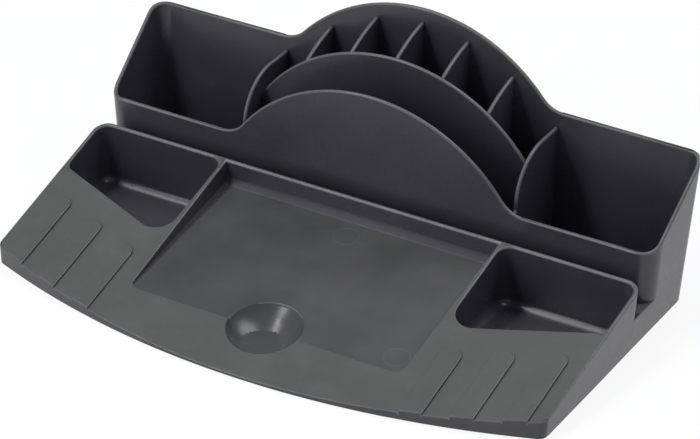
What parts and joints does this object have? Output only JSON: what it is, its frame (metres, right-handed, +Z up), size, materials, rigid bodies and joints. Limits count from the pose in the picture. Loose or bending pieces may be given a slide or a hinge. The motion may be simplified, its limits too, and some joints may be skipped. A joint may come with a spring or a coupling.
{
  "type": "tool storage caddy",
  "caption": "Free-standing moulded desk and bench caddy: sloping tray with memo recess, finger dish, side pockets and pen grooves, and an arched rear rack of bins and tool cells.",
  "frame": {"origin": "on the table under the middle of the overall box", "axes": "+X to the user's right along the long side, +Y to the rear rack, +Z up"},
  "size_m": [0.3092, 0.182, 0.1114],
  "materials": {
    "black_plastic": "satin moulded plastic with a fine grain"
  },
  "bodies": {
    "root": {"back_wall": "black_plastic", "finger_dish": "black_plastic", "front_apron": "black_plastic", "left_bin_floor": "black_plastic", "left_bin_partition": "black_plastic", "left_end_wall": "black_plastic", "left_pen_deck": "black_plastic", "left_pocket": "black_plastic", "left_side_skirt": "black_plastic", "letter_slot_floor": "black_plastic", "memo_recess": "black_plastic", "middle_wall": "black_plastic", "rack_front_wall": "black_plastic", "rear_channel": "black_plastic", "right_bin_floor": "black_plastic", "right_bin_partition": "black_plastic", "right_end_wall": "black_plastic", "right_pen_deck": "black_plastic", "right_pocket": "black_plastic", "right_side_skirt": "black_plastic", "tool_cell_floor": "black_plastic", "tool_divider_1": "black_plastic", "tool_divider_2": "black_plastic", "tool_divider_3": "black_plastic", "tool_divider_4": "black_plastic", "tool_divider_5": "black_plastic", "tray_rear_wall": "black_plastic"}
  },
  "joints": []
}
